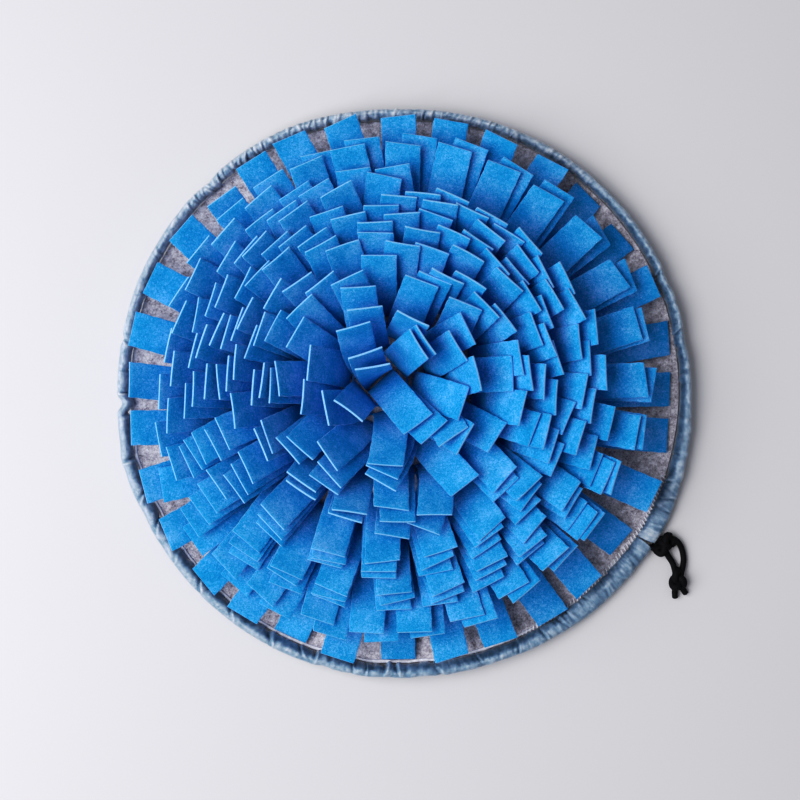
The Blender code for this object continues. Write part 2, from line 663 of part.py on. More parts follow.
remove_startup_objects()
mat = bpy.data.collections.new("snuffle_mat")
bpy.context.scene.collection.children.link(mat)
grey_felt = new_material("grey_felt", (0.29, 0.27, 0.30), 0.95)
blue_felt = new_material("blue_felt", (0.02, 0.22, 0.78), 0.90)
casing_nylon = new_material("casing_nylon", (0.22, 0.33, 0.42), 0.45)
black_cord = new_material("black_cord", (0.01, 0.01, 0.012), 0.80)

disc = add_object("felt_disc", build_disc(), grey_felt, mat)
casing = add_object("edge_casing", build_casing(), casing_nylon, mat)
build_bands(blue_felt, mat, [surface_tree(disc), surface_tree(casing)])
build_drawstring(black_cord, mat)
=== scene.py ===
"""Snuffle mat: the looks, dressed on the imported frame. Metres, +Z up, azimuths in degrees from +X to +Y."""

import math
import random

import bmesh
import bpy
import numpy as np
from mathutils import Matrix, Vector, noise


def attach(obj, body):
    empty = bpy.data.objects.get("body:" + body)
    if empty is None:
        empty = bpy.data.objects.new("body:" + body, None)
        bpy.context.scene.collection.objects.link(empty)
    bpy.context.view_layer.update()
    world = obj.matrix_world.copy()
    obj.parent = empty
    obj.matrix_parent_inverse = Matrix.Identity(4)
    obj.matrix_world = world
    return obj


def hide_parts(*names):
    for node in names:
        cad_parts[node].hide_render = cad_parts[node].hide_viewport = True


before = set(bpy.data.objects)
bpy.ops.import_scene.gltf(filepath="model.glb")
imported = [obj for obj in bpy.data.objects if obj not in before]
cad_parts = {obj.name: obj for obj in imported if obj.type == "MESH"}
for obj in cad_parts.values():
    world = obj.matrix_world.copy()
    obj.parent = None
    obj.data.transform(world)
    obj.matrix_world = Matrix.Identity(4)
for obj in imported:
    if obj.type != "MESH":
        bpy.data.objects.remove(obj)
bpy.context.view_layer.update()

# --- camera, floor and light ----------------------------------------------------------------------
# The mat lies on a pale lilac-grey floor and is seen from straight above. A large soft lamp stands to the
# left and a little to the front, so soft shadows fall to the right.
CAMERA_HEIGHT = 1.5
CAMERA_AIM = (-0.0047, -0.0052)
CAMERA_LENS = 77.0  # in mm, as the sensor's width is
SENSOR_WIDTH = 36.0
FLOOR_HALF = 3.0
FLOOR_COLOUR = (0.62, 0.61, 0.64)
KEY_PLACE = Vector((-1.25, -0.12, 1.50))
KEY_SIZE = 1.9
KEY_WATTS = 55.0
SKY_COLOUR = (0.93, 0.95, 1.0)
SKY_STRENGTH = 0.30
# brightness as lit and as shown, for a photograph's contrast, on the curve of all colours together
TONE_CURVE = ((0.05, 0.029), (0.15, 0.112), (0.26, 0.245), (0.42, 0.445), (0.80, 0.80))
COMBINED = 3


class Finish:
    """A material in the making. Its patterns read the piece's own coordinates, so they sit still on it."""

    def __init__(self, name, roughness):
        self.material = bpy.data.materials.new(name)
        self.material.use_nodes = True
        self.tree = self.material.node_tree
        self.sockets = self.tree.nodes["Principled BSDF"].inputs
        self.sockets["Roughness"].default_value = roughness

    def node(self, kind, **settings):
        """A new node, with the given sockets and properties set."""
        node = self.tree.nodes.new(kind)
        for key, value in settings.items():
            if key in node.inputs:
                node.inputs[key].default_value = value
            else:
                setattr(node, key, value)
        return node

    def grain(self, **settings):
        """A value that varies as noise over the piece."""
        place = self.node("ShaderNodeTexCoord")
        texture = self.node("ShaderNodeTexNoise", **settings)
        self.tree.links.new(place.outputs["Object"], texture.inputs["Vector"])
        return texture.outputs["Fac"]

    def blend(self, first, second, share):
        """Two values mixed, with the given share of the second."""
        mix = self.node("ShaderNodeMix", data_type="FLOAT")  # whose number sockets are 0, 2 and 3
        mix.inputs[0].default_value = share
        self.tree.links.new(first, mix.inputs[2])
        self.tree.links.new(second, mix.inputs[3])
        return mix.outputs[0]

    def tint(self, value, shades):
        """Colour the piece by a value, with the given (value, colour) pairs and all shades between them."""
        ramp = self.node("ShaderNodeValToRGB")
        stops = ramp.color_ramp.elements
        while len(stops) < len(shades):
            stops.new(0.5)
        for stop, (place, colour) in zip(stops, shades):
            stop.position = place
            stop.color = (*colour, 1.0)
        self.tree.links.new(value, ramp.inputs["Fac"])
        self.tree.links.new(ramp.outputs["Color"], self.sockets["Base Color"])

    def bump(self, value, strength, depth):
        """Let a value raise and sink the surface."""
        relief = self.node("ShaderNodeBump", Strength=strength, Distance=depth)
        self.tree.links.new(value, relief.inputs["Height"])
        self.tree.links.new(relief.outputs["Normal"], self.sockets["Normal"])


camera = bpy.data.cameras.new("camera")
camera.lens = CAMERA_LENS
camera.sensor_width = SENSOR_WIDTH
camera_object = bpy.data.objects.new("camera", camera)
camera_object.location = (*CAMERA_AIM, CAMERA_HEIGHT)
bpy.context.scene.collection.objects.link(camera_object)
bpy.context.scene.camera = camera_object
view = bpy.context.scene.view_settings
view.view_transform = "Standard"
view.use_curve_mapping = True
for lit, shown in TONE_CURVE:
    view.curve_mapping.curves[COMBINED].points.new(lit, shown)
view.curve_mapping.update()

key = bpy.data.lights.new("key", "AREA")
key.size = KEY_SIZE
key.energy = KEY_WATTS
key_object = bpy.data.objects.new("key", key)
key_object.location = KEY_PLACE
key_object.rotation_euler = (-KEY_PLACE).to_track_quat("-Z", "Y").to_euler()
bpy.context.scene.collection.objects.link(key_object)

sky = bpy.data.worlds.new("sky")
sky.use_nodes = True
sky.node_tree.nodes["Background"].inputs["Color"].default_value = (*SKY_COLOUR, 1.0)
sky.node_tree.nodes["Background"].inputs["Strength"].default_value = SKY_STRENGTH
bpy.context.scene.world = sky

bpy.ops.object.select_all(action="DESELECT")
bpy.ops.mesh.primitive_plane_add(size=2.0 * FLOOR_HALF)
floor = bpy.context.object
floor.name = "floor"
floor_finish = Finish("pale_floor", roughness=0.75)
floor_finish.sockets["Base Color"].default_value = (*FLOOR_COLOUR, 1.0)
floor.data.materials.append(floor_finish.material)

# --- drawstring -----------------------------------------------------------------------------------
# Two ends of one black polyester braid, 5.4 mm thick. They come out of the casing at its notch, are
# knotted there and again 4 cm further on, and end in two short tails.
CORD_RADIUS = 0.0027
BRAID_PLAITS = 8  # strands each way round
BRAID_PITCH = 0.0110  # a strand goes once round in this length
BRAID_RELIEF = 0.00030
BRAID_SHADES = ((0.35, (0.0008, 0.0008, 0.0016)), (0.75, (0.0045, 0.0045, 0.0070)))
CORD_SIDES = 48
CORD_STEP = 0.00055  # between two rings of points
END_ROUNDING = 0.6  # share of the radius over which an end is rounded
END_BLUNTNESS = 0.35  # share of the radius that is left at the very end
WELD_DISTANCE = 1e-6
UP = Vector((0.0, 0.0, 1.0))
# from inside the casing's open end: the knot, the strand, the knot at the end, the tail
INNER_CORD = (
    (0.2122, -0.1331, 0.0064), (0.2180, -0.1346, 0.0062),
    (0.2250, -0.1340, 0.0060), (0.2284, -0.1392, 0.0046), (0.2306, -0.1429, 0.0034),
    (0.2332, -0.1468, 0.0031), (0.2348, -0.1510, 0.0040), (0.2358, -0.1570, 0.0058),
    (0.2366, -0.1650, 0.0050), (0.2358, -0.1706, 0.0038), (0.2356, -0.1744, 0.0031),
    (0.2362, -0.1790, 0.0030),
)
OUTER_CORD = (
    (0.2149, -0.1286, 0.0064), (0.2245, -0.1262, 0.0062),
    (0.2334, -0.1262, 0.0060), (0.2384, -0.1298, 0.0050), (0.2412, -0.1342, 0.0036),
    (0.2428, -0.1395, 0.0031), (0.2434, -0.1452, 0.0031), (0.2424, -0.1510, 0.0042),
    (0.2406, -0.1580, 0.0058), (0.2404, -0.1650, 0.0050), (0.2422, -0.1694, 0.0038),
    (0.2438, -0.1722, 0.0031), (0.2460, -0.1752, 0.0030),
)


def smooth_route(points, step):
    """Points about step apart on a smooth curve through the given ones."""
    given = [Vector(point) for point in points]
    padded = [2.0 * given[0] - given[1], *given, 2.0 * given[-1] - given[-2]]
    route = [given[0]]
    for a, b, c, d in zip(padded, padded[1:], padded[2:], padded[3:]):
        pieces = max(1, round((c - b).length / step))
        for piece in range(1, pieces + 1):
            t = piece / pieces
            square = (2 * a - 5 * b + 4 * c - d) * t**2
            cube = (3 * b - a - 3 * c + d) * t**3
            route.append(0.5 * (2 * b + (c - a) * t + square + cube))
    return route


def braid_height(turn, along):
    """Height from 0 to 1 of a diamond braid's surface at a turn round it and a length along it."""
    first = BRAID_PLAITS * (turn + along / BRAID_PITCH)
    second = BRAID_PLAITS * (turn - along / BRAID_PITCH)
    over = math.cos(math.pi * second) * (1.0 if math.floor(first) % 2 else -1.0)
    under = math.cos(math.pi * first) * (-1.0 if math.floor(second) % 2 else 1.0)
    rise = abs(math.sin(math.pi * first)) ** 0.5 * (0.5 + 0.5 * over)
    fall = abs(math.sin(math.pi * second)) ** 0.5 * (0.5 + 0.5 * under)
    return max(rise, fall)


def weld(close_ends=False):
    """Merge the active piece's doubled points, close its open ends if asked, and turn its faces outwards."""
    bpy.ops.object.mode_set(mode="EDIT")
    bpy.ops.mesh.select_all(action="SELECT")
    bpy.ops.mesh.remove_doubles(threshold=WELD_DISTANCE)
    if close_ends:
        bpy.ops.mesh.select_all(action="DESELECT")
        bpy.ops.mesh.select_non_manifold()
        bpy.ops.mesh.edge_face_add()
        bpy.ops.mesh.select_all(action="SELECT")
    bpy.ops.mesh.normals_make_consistent(inside=False)
    bpy.ops.object.mode_set(mode="OBJECT")


def braided(name, points, radius):
    """A length of braid along the points, and its route. A flat grid is rolled up, bent and given relief."""
    route = smooth_route(points, CORD_STEP)
    rows = len(route)
    bpy.ops.object.select_all(action="DESELECT")
    bpy.ops.mesh.primitive_grid_add(x_subdivisions=CORD_SIDES, y_subdivisions=rows - 1, size=1.0)
    piece = bpy.context.object
    piece.name = piece.data.name = name
    rings = []
    spoke = UP
    length = 0.0
    for index, here in enumerate(route):
        ahead = route[min(index + 1, rows - 1)] - route[max(index - 1, 0)]
        ahead.normalize()
        spoke = (spoke - ahead * ahead.dot(spoke)).normalized()
        if index:
            length += (here - route[index - 1]).length
        rings.append((here, spoke, ahead.cross(spoke), length))
    for vert in piece.data.vertices:
        here, spoke, side, along = rings[round((vert.co.y + 0.5) * (rows - 1))]
        turn = vert.co.x + 0.5
        nearness = max(0.0, 1.0 - min(along, length - along) / (END_ROUNDING * radius))
        reach = radius - BRAID_RELIEF * (1.0 - braid_height(turn, along))
        reach *= END_BLUNTNESS + (1.0 - END_BLUNTNESS) * math.sqrt(1.0 - nearness**2)
        angle = 2.0 * math.pi * turn
        vert.co = here + (spoke * math.cos(angle) + side * math.sin(angle)) * reach
    weld(close_ends=True)
    bpy.ops.object.shade_smooth()
    return piece, route


braid = Finish("black_braid", roughness=0.75)
yarn = braid.grain(Scale=2600.0, Detail=4.0)
braid.tint(yarn, BRAID_SHADES)
braid.bump(yarn, strength=0.5, depth=0.00012)
braid.sockets["Specular IOR Level"].default_value = 0.18

inner_cord, inner_route = braided("drawstring_inner", INNER_CORD, CORD_RADIUS)
outer_cord, outer_route = braided("drawstring_outer", OUTER_CORD, CORD_RADIUS)

# knot at the casing: the cord goes round in a figure of eight, pulled tight, with one turn round its waist
KNOT_CORD_RADIUS = 0.0034  # as the braid bunches up in a knot
CASING_KNOT = Vector((0.2262, -0.1313, 0.0060))
CASING_KNOT_TURN = math.radians(40.7)
EIGHT_HALF = Vector((0.0086, 0.0042, 0.0026))
EIGHT_POINTS = 28
WAIST_HALF = Vector((0.0024, 0.0034, 0.0028))
WAIST_POINTS = 14

turned = Matrix.Rotation(CASING_KNOT_TURN, 4, "Z")
eight = []
for index in range(EIGHT_POINTS):
    t = 2.0 * math.pi * (index + 0.5) / EIGHT_POINTS + 0.5 * math.pi
    eight.append(CASING_KNOT + turned @ (EIGHT_HALF * Vector((math.sin(t), math.sin(2.0 * t), math.cos(t)))))
casing_knot, _ = braided("knot_at_casing_braid", eight, KNOT_CORD_RADIUS)
waist = []
for index in range(WAIST_POINTS):
    share = index / (WAIST_POINTS - 1)
    t = 2.0 * math.pi * share - 0.5 * math.pi
    waist.append(CASING_KNOT + turned @ (WAIST_HALF * Vector((2.0 * share - 1.0, math.cos(t), math.sin(t)))))
waist_turn, _ = braided("knot_waist", waist, KNOT_CORD_RADIUS)

# knot at the end: an overhand knot with three lobes
END_KNOT = Vector((0.2380, -0.1626, 0.0060))
END_KNOT_SCALE = Vector((0.0017, 0.0028, 0.0025))
END_KNOT_POINTS = 36

trefoil = []
for index in range(END_KNOT_POINTS):
    t = 2.0 * math.pi * (index + 0.5) / END_KNOT_POINTS
    across = math.sin(t) + 2.0 * math.sin(2.0 * t)
    along = 2.0 * math.cos(2.0 * t) - math.cos(t)
    trefoil.append(END_KNOT + END_KNOT_SCALE * Vector((across, along, math.sin(3.0 * t))))
end_knot, _ = braided("knot_at_end_braid", trefoil, KNOT_CORD_RADIUS)

for piece in (inner_cord, outer_cord, casing_knot, waist_turn, end_knot):
    piece.data.materials.append(braid.material)
    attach(piece, "root")
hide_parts("cord_inner_strand", "cord_inner_tail")
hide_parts("cord_outer_strand", "cord_outer_tail")
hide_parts("knot_at_casing")
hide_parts("knot_at_end")

# --- base felt ------------------------------------------------------------------------------------
# A round of grey melange needle felt, 2.6 mm thick. It lies flat and curls up a little under the pull
# of the casing that is sewn to its edge.
CAD_WELD_DISTANCE = 2e-6
BASE_CUT_ANGLE = math.radians(50)  # edges that are sharper than this stay crisp
BASE_SUBDIVISIONS = 3
BASE_UNDERSIDE = 0.001  # what is lower lies on the floor and stays level
BASE_UNEVEN = 0.00012
BASE_UNEVEN_SCALE = 90.0
BASE_CLUMPS = 0.42  # how much of the tint follows clumps of fibres, the rest single ones
BASE_SHADES = (
    (0.36, (0.120, 0.106, 0.130)), (0.46, (0.370, 0.342, 0.390)), (0.54, (0.580, 0.552, 0.615)),
    (0.64, (0.820, 0.795, 0.880)),
)
SMOOTH_ANGLE = math.radians(40)  # edges that bend by less are shaded smooth


def finer_copy(node, name):
    """A copy of a CAD node's mesh with its points merged and its triangles joined in pairs."""
    piece = bpy.data.objects.new(name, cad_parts[node].data.copy())
    piece.data.name = name
    piece.data.materials.clear()
    bpy.context.scene.collection.objects.link(piece)
    bpy.ops.object.select_all(action="DESELECT")
    bpy.context.view_layer.objects.active = piece
    piece.select_set(True)
    bpy.ops.object.mode_set(mode="EDIT")
    bpy.ops.mesh.select_all(action="SELECT")
    bpy.ops.mesh.remove_doubles(threshold=CAD_WELD_DISTANCE)
    bpy.ops.mesh.tris_convert_to_quads(face_threshold=math.radians(60), shape_threshold=math.radians(170))
    bpy.ops.object.mode_set(mode="OBJECT")
    return piece


base = finer_copy("felt_disc", "base_felt")
base.data.attributes.new("crease_edge", "FLOAT", "EDGE")
bm = bmesh.new()
bm.from_mesh(base.data)
crease = bm.edges.layers.float["crease_edge"]
for edge in bm.edges:
    if edge.is_manifold and edge.calc_face_angle() > BASE_CUT_ANGLE:
        edge[crease] = 1.0
bm.to_mesh(base.data)
bm.free()
refine = base.modifiers.new("refine", "SUBSURF")
refine.levels = refine.render_levels = BASE_SUBDIVISIONS
bpy.ops.object.modifier_apply(modifier="refine")
for vert in base.data.vertices:
    if vert.co.z > BASE_UNDERSIDE:
        vert.co.z += BASE_UNEVEN * min(0.0, noise.noise(vert.co * BASE_UNEVEN_SCALE))
bpy.ops.object.shade_smooth_by_angle(angle=SMOOTH_ANGLE)

melange = Finish("grey_melange_felt", roughness=0.96)
fibres = melange.grain(Scale=620.0, Detail=6.0, Roughness=0.65, Distortion=0.8)
clumps = melange.grain(Scale=170.0, Detail=4.0, Roughness=0.6)
mottle = melange.blend(fibres, clumps, BASE_CLUMPS)
melange.tint(mottle, BASE_SHADES)
melange.bump(mottle, strength=0.8, depth=0.0005)
melange.sockets["Sheen Weight"].default_value = 0.25
base.data.materials.append(melange.material)

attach(base, "root")
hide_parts("felt_disc")

# --- edge casing ----------------------------------------------------------------------------------
# A tube of thin blue-grey nylon round the felt's edge, drawn up by the cord that runs in it. It is
# finely gathered at the back, pinched into lumps on the left, and has slanted tucks at the front and right.
CASING_HALF_WIDTH = 0.0090
CASING_HALF_THICK = 0.0038
CASING_STATIONS = 2000
CASING_SIDES = 24
NYLON_THICK = 0.00035
MEAN_RADIUS = 0.25  # which turns an angle round the mat into a length
PUFFED = 0.7  # how far the section has filled out from a tilted ellipse to an upright one
CALM_OUTLINE = 0.65  # how much less the nylon stands out where it faces outwards
SEWN_GAP = 0.0003  # between the casing and the felt's edge
FLOOR_GAP = 0.0006
NOTCH_AZIMUTH = -31.5
NOTCH_INNER_HALF = 0.0004
NOTCH_OUTER_HALF = 0.0030
NOTCH_SOFTNESS = 9.0  # degrees over which the tube's open ends draw back
# azimuth, radius of the outer edge, tilt from level, lift of the felt's edge, the share of the casing's
# width, from the inner seam, that is darkened as painted shade, how pale the rest is as painted highlight,
# how strongly it is finely gathered, and how pale its ridges are as painted highlight
EDGE_TABLE = (
    (0, 0.2485, 70, 0.0030, 0.42, 0.64, 0.3, 0.20), (30, 0.2490, 77, 0.0030, 0.42, 0.64, 0.3, 0.20),
    (60, 0.2485, 76, 0.0036, 0.10, 0.66, 0.8, 0.30), (90, 0.2475, 72, 0.0040, 0.10, 0.68, 1.0, 0.30),
    (118, 0.2530, 70, 0.0042, 0.02, 0.70, 1.0, 0.30), (150, 0.2520, 72, 0.0050, 0.02, 0.68, 0.4, 0.25),
    (180, 0.2500, 66, 0.0050, 0.06, 0.66, 0.3, 0.25), (195, 0.2520, 60, 0.0048, 0.18, 0.66, 0.2, 0.22),
    (215, 0.2495, 56, 0.0042, 0.24, 0.62, 0.2, 0.20), (240, 0.2490, 56, 0.0034, 0.34, 0.62, 0.3, 0.20),
    (270, 0.2468, 57, 0.0028, 0.44, 0.57, 0.4, 0.18), (288, 0.2464, 54, 0.0020, 0.42, 0.56, 0.5, 0.12),
    (299, 0.2484, 44, 0.0012, 0.32, 0.55, 0.6, 0.08), (313, 0.2510, 29, 0.0002, 0.06, 0.52, 0.7, 0.05),
    (323, 0.2522, 28, 0.0002, 0.04, 0.52, 0.7, 0.05), (333, 0.2544, 28, 0.0002, 0.12, 0.55, 0.7, 0.08),
    (347, 0.2515, 50, 0.0020, 0.36, 0.62, 0.4, 0.16),
)
# where the casing is pinched: azimuth, how far that reaches to either side in degrees, shift inwards
PINCHES = (
    (11.0, 5.0, 0.0014), (24.0, 3.5, 0.0012), (133.0, 4.0, 0.0018), (169.0, 1.6, 0.0014),
    (181.9, 2.0, 0.0040), (193.0, 3.0, -0.0012), (205.0, 4.0, 0.0012), (253.3, 2.4, 0.0012),
    (262.0, 4.0, -0.0010), (273.5, 3.0, 0.0010),
)
# main creases: azimuth, degrees that they slant from the outer edge to the inner seam, half width, depth
CREASES = (
    (347.0, 0.8, 0.0014, 0.0011), (355.0, 0.7, 0.0012, 0.0008), (4.5, -0.8, 0.0020, 0.0007),
    (8.5, 1.5, 0.0018, 0.0010), (12.8, -0.9, 0.0011, 0.0014), (19.0, 1.2, 0.0022, 0.0009),
    (25.5, -1.0, 0.0016, 0.0011), (38.0, 0.7, 0.0016, 0.0007), (44.0, -0.8, 0.0014, 0.0009),
    (149.0, 1.5, 0.0020, 0.0006), (159.3, -1.2, 0.0014, 0.0012), (169.0, 0.5, 0.0012, 0.0018),
    (175.0, 0.2, 0.0009, 0.0016), (179.3, 0.6, 0.0009, 0.0020), (184.3, -0.8, 0.0012, 0.0014),
    (193.3, -0.6, 0.0012, 0.0014), (201.3, -1.6, 0.0017, 0.0013), (208.2, -2.8, 0.0016, 0.0016),
    (215.2, -2.4, 0.0015, 0.0015), (223.0, -2.4, 0.0016, 0.0014), (231.6, -2.2, 0.0015, 0.0014),
    (241.2, -2.2, 0.0016, 0.0016), (248.4, -2.0, 0.0014, 0.0014), (250.9, -0.4, 0.0010, 0.0018),
    (253.4, 1.4, 0.0012, 0.0014), (258.9, -0.6, 0.0009, 0.0018), (261.6, 0.2, 0.0008, 0.0014),
    (265.2, 0.8, 0.0012, 0.0020), (268.2, -0.9, 0.0012, 0.0017), (276.6, -1.5, 0.0019, 0.0017),
    (285.5, -0.8, 0.0014, 0.0010), (293.7, 0.7, 0.0009, 0.0015), (299.8, -0.4, 0.0010, 0.0018),
    (304.5, -1.3, 0.0012, 0.0016), (306.5, -0.4, 0.0010, 0.0020), (312.0, -1.7, 0.0011, 0.0015),
    (315.4, 1.2, 0.0012, 0.0010), (319.2, -1.3, 0.0010, 0.0017), (323.4, 0.9, 0.0013, 0.0010),
    (335.5, 0.1, 0.0009, 0.0018), (338.0, -0.9, 0.0009, 0.0020), (341.7, -0.6, 0.0011, 0.0015),
)
# stretches of smaller gathers between the main creases: azimuths, mean distance in degrees, depth
GATHERS = (
    (46.0, 66.0, 2.6, 0.0008), (66.0, 120.0, 1.40, 0.0012), (120.0, 139.0, 1.05, 0.0013),
    (139.0, 200.0, 5.0, 0.0006), (200.0, 248.0, 5.0, 0.0006), (248.0, 270.0, 2.6, 0.0008),
    (270.0, 327.0, 4.0, 0.0008), (330.5, 346.0, 3.2, 0.0008), (346.0, 406.0, 4.0, 0.0006),
)
# what is drawn by lot: where a stretch's first gather is, and each one's half width, slant, depth and way
# to the next. Places and widths are in mean distances, and depths in the stretch's depth
GATHER_STARTS = (0.3, 1.0)
GATHER_WIDTHS = (0.13, 0.30)
GATHER_SLANTS = (-0.7, 1.6)
GATHER_DEPTHS = (0.45, 1.2)
GATHER_STEPS = (0.55, 0.8, 1.0, 1.3, 1.7)
CREASE_REACH = 4.0  # degrees beyond which a crease is no longer felt
CREASE_PIVOT = 0.6  # how far out a slanted crease is at its own azimuth, as a share of the width
CREASE_BOW = 0.25  # degrees that it bows sideways over the tube
FULL_CREASE = 0.0014  # a crease of this depth has its full effect beside it
RIDGE_PLACE, RIDGE_HEIGHT = 1.9, 0.85  # of the ridge beside a furrow, in its half widths and depths
# how much a furrow darkens the nylon as painted shade; the ridge beside it is painted paler as a painted
# highlight
FURROW_PAINTED_SHADE = 0.24
PUFF_DEPTH = 0.0011
PUFF_WIDTH = 0.0032  # how far from a crease the nylon has puffed out in full
# crumples, streaks and fine gathers: depth, scale, and how much they paint the nylon paler where it stands
# out and darker where it sinks, as painted highlight and painted shade
CRUMPLE_DEPTH, CRUMPLE_SCALE, CRUMPLE_PAINTED_LIGHT = 0.0009, 150.0, 0.30
STREAK_DEPTH, STREAK_SCALE, STREAK_PAINTED_LIGHT = 0.0007, 32.0, 0.10  # soft folds that run along the tube
FINE_DEPTH, FINE_SCALE, FINE_PAINTED_LIGHT = 0.0006, 420.0, 0.30  # gathers as fine as threads
FINE_SLANT, FINE_SLANT_SCALE = 0.004, 60.0  # how far they slant, and how often round the mat that turns
PAINTED_SHADE_LEVEL = 0.28  # tone of the painted shade by the inner seam, from 0 to 1
PAINTED_SHADE_EDGE = 0.34  # share of the width over which painted shade turns to painted highlight
PAINTED_SHADE_PATCHES, PAINTED_SHADE_PATCH_SCALE = 0.22, 0.8  # how unevenly it does
OPEN_END_WIDTH = 0.007  # share of the way round, at the notch, where the open end is paler
OPEN_END_PALER = 0.28
NYLON_MOTTLE = 0.30  # how much of the tint is mottled, the rest follows the painted light and shade of the tone
NYLON_CRUMPLE = 0.85  # how much of the bump is crumpled, the rest is the weave
# the nylon's tints, from painted shade in creases and by the inner seam to painted highlight on ridges and
# the outer edge
NYLON_SHADES = (
    (0.12, (0.012, 0.032, 0.064)), (0.30, (0.048, 0.112, 0.198)), (0.48, (0.140, 0.236, 0.350)),
    (0.64, (0.310, 0.400, 0.520)), (0.82, (0.540, 0.600, 0.690)),
)


def eased(share):
    """A share from 0 to 1 that starts and ends gently."""
    return share * share * (3.0 - 2.0 * share)


def edge_at(azimuth):
    """A row of the table at any azimuth, without the azimuth, eased between the rows that are given."""
    azimuth %= 360.0
    rows = EDGE_TABLE + ((EDGE_TABLE[0][0] + 360.0, *EDGE_TABLE[0][1:]),)
    for low, high in zip(rows, rows[1:]):
        if azimuth <= high[0]:
            break
    share = eased((azimuth - low[0]) / (high[0] - low[0]))
    return [a + (b - a) * share for a, b in zip(low[1:], high[1:])]


def degrees_apart(azimuth, other):
    """How far an azimuth lies beyond another, from -180 to 180."""
    return (azimuth - other + 180.0) % 360.0 - 180.0


def casing_frame(azimuth):
    """The casing's section: its middle, the outward direction, its tilt, its half width and half height."""
    radius, tilt, lift = edge_at(azimuth)[:3]
    for middle, half_angle, shift in PINCHES:
        away = degrees_apart(azimuth, middle) / half_angle
        if abs(away) < 1.0:
            radius -= shift * (0.5 + 0.5 * math.cos(math.pi * away))
    tilt = math.radians(tilt)
    reach = math.hypot(CASING_HALF_WIDTH * math.cos(tilt), CASING_HALF_THICK * math.sin(tilt))
    rise = math.hypot(CASING_HALF_WIDTH * math.sin(tilt), CASING_HALF_THICK * math.cos(tilt))
    turn = math.radians(azimuth)
    outward = Vector((math.cos(turn), math.sin(turn), 0.0))
    return outward * (radius - reach) + UP * (lift + SEWN_GAP + rise), outward, tilt, reach, rise


rng = random.Random(5)
creases = [(azimuth % 360.0, slant, half, depth) for azimuth, slant, half, depth in CREASES]
for first, last, distance, depth in GATHERS:
    azimuth = first + distance * rng.uniform(*GATHER_STARTS)
    while azimuth < last:
        half = math.radians(distance) * MEAN_RADIUS * rng.uniform(*GATHER_WIDTHS)
        slant = rng.uniform(*GATHER_SLANTS)
        creases.append((azimuth % 360.0, slant, half, depth * rng.uniform(*GATHER_DEPTHS)))
        azimuth += distance * rng.choice(GATHER_STEPS)
creases.sort()


def furrow_depth(away):
    """Depth from 0 to 1 of a crease with a rounded bottom, at a number of half widths from its middle."""
    return math.exp(-1.2 * abs(away)) if abs(away) > 0.4 else 0.8 - away**2


def casing_relief(azimuth, facing):
    """How far the nylon stands out, and how much paler it is painted where it faces at an angle above
    outward: painted highlight on ridges and raised nylon, painted shade in furrows and hollows.
    """
    outer = 0.5 + 0.5 * math.cos(facing)  # 0 at the inner seam, 1 at the outer edge
    finely, ridge_painted_highlight = edge_at(azimuth)[5:]
    swell = dip = painted_paleness = 0.0
    for place, slant, half, depth in creases:
        away = degrees_apart(azimuth, place)
        if abs(away) > CREASE_REACH:
            continue
        away -= slant * (CREASE_PIVOT - outer) + CREASE_BOW * math.sin(facing)
        # it fans out towards one edge of the casing, and is deeper on one side than on the other
        fan = 0.5 + 1.1 * (outer if math.sin(90.0 * place) > 0.0 else 1.0 - outer)
        bend = 0.75 + 0.45 * math.sin(1.3 * facing + 40.0 * place)
        away = math.radians(away) * MEAN_RADIUS / (half * fan)
        furrow = furrow_depth(away)
        ridge = math.exp(-((away - RIDGE_PLACE) ** 2))
        swell -= depth * bend * (furrow - RIDGE_HEIGHT * ridge)
        # painted highlight on the ridge, painted shade in the furrow
        painted_paleness += depth / FULL_CREASE * bend * (ridge_painted_highlight * ridge - FURROW_PAINTED_SHADE * furrow)
        near = 1.0 - math.sqrt(min(1.0, abs(away) * half / PUFF_WIDTH))
        dip = max(dip, near * min(1.0, depth / FULL_CREASE) * bend)
    # fine gathers, crumples and streaks, each read from the noise along a line of its own
    run = math.radians(azimuth) * MEAN_RADIUS
    rim = Vector((0.0, math.cos(facing), math.sin(facing)))
    slanted = run + FINE_SLANT * outer * math.sin(run * FINE_SLANT_SCALE)
    spot = Vector((slanted * FINE_SCALE, 3.0, 0.0))
    fine = finely * (noise.noise(spot + rim * 0.8) + 0.4 * noise.noise(spot * 2.2 + rim))
    spot = Vector((run * CRUMPLE_SCALE, 0.0, 0.0)) + rim * 1.5
    crumple = abs(noise.noise(spot)) + 0.5 * abs(noise.noise(spot * 2.3)) - 0.33
    streak = noise.noise(Vector((run * STREAK_SCALE, 5.0, 0.0)) + rim * 2.4)
    swell += CRUMPLE_DEPTH * crumple + STREAK_DEPTH * streak + FINE_DEPTH * fine - PUFF_DEPTH * dip
    # the nylon is painted paler where it stands out and darker where it sinks: painted highlight and painted
    # shade
    painted_paleness += CRUMPLE_PAINTED_LIGHT * crumple + STREAK_PAINTED_LIGHT * streak + FINE_PAINTED_LIGHT * fine
    return swell, painted_paleness


